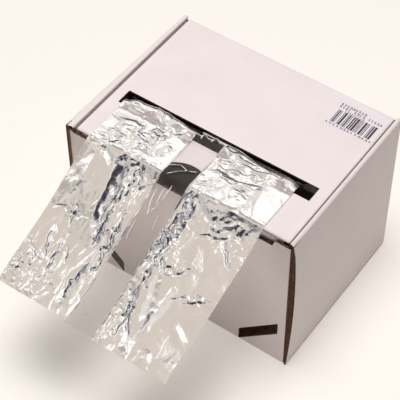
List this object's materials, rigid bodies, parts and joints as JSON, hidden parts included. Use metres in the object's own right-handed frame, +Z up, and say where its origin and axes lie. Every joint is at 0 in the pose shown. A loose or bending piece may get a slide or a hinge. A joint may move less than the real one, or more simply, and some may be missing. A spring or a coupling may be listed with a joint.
{
  "type": "foil strip dispenser carton",
  "caption": "Corrugated carton with a hinged lid that feeds a crumpled web of foil with a clear film window out through a slot, as used in hair salons.",
  "frame": {"origin": "middle of the carton's base, on the table", "axes": "+Z up, +Y from the front wall to the lid's hinge, +X to the right of someone facing the front wall"},
  "size_m": [0.174, 0.2247, 0.1259],
  "materials": {
    "coated_board": "white-coated corrugated board, matt, faintly pink",
    "kraft_board": "uncoated brown kraft liner",
    "core_board": "spiral-wound grey-brown core board",
    "foil": "bright crumpled foil",
    "clear_film": "clear glossy film",
    "label_paper": "semi-gloss label paper"
  },
  "bodies": {
    "carton": {"floor_panel": "kraft_board", "front_wall": "coated_board", "back_wall": "coated_board", "left_outer_wall": "coated_board", "right_outer_wall": "coated_board", "left_wall_cap": "coated_board", "right_wall_cap": "coated_board", "left_inner_wall": "coated_board", "right_inner_wall": "coated_board", "front_left_dust_flap": "kraft_board", "front_right_dust_flap": "kraft_board", "back_left_dust_flap": "kraft_board", "back_right_dust_flap": "kraft_board", "inner_left_foil": "foil", "inner_window_film": "clear_film", "inner_right_foil": "foil"},
    "lid": {"lid_panel": "coated_board", "price_label": "label_paper", "strip_left_foil": "foil", "strip_window_film": "clear_film", "strip_right_foil": "foil"},
    "tuck_flap": {"lid_tuck_flap": "coated_board"},
    "left_ear": {"lid_left_ear": "coated_board"},
    "right_ear": {"lid_right_ear": "coated_board"},
    "roll": {"core_tube": "core_board", "wound_left_foil": "foil", "wound_window_film": "clear_film", "wound_right_foil": "foil"}
  },
  "joints": [
    {"name": "lid_hinge", "type": "hinge", "parent": "carton", "child": "lid", "pos_m": [0, 0.062, 0.1235], "axis": [-1, 0, 0], "range_deg": [0, 110]},
    {"name": "tuck_flap_fold", "type": "hinge", "parent": "lid", "child": "tuck_flap", "pos_m": [0, -0.0587, 0.122], "axis": [1, 0, 0], "range_deg": [0, 40]},
    {"name": "left_ear_fold", "type": "hinge", "parent": "lid", "child": "left_ear", "pos_m": [-0.0787, 0, 0.122], "axis": [0, -1, 0], "range_deg": [0, 15]},
    {"name": "right_ear_fold", "type": "hinge", "parent": "lid", "child": "right_ear", "pos_m": [0.0787, 0, 0.122], "axis": [0, 1, 0], "range_deg": [0, 15]},
    {"name": "roll_turn", "type": "hinge", "parent": "carton", "child": "roll", "pos_m": [-0.0038, 0.008, 0.0478], "axis": [1, 0, 0], "continuous": true}
  ]
}
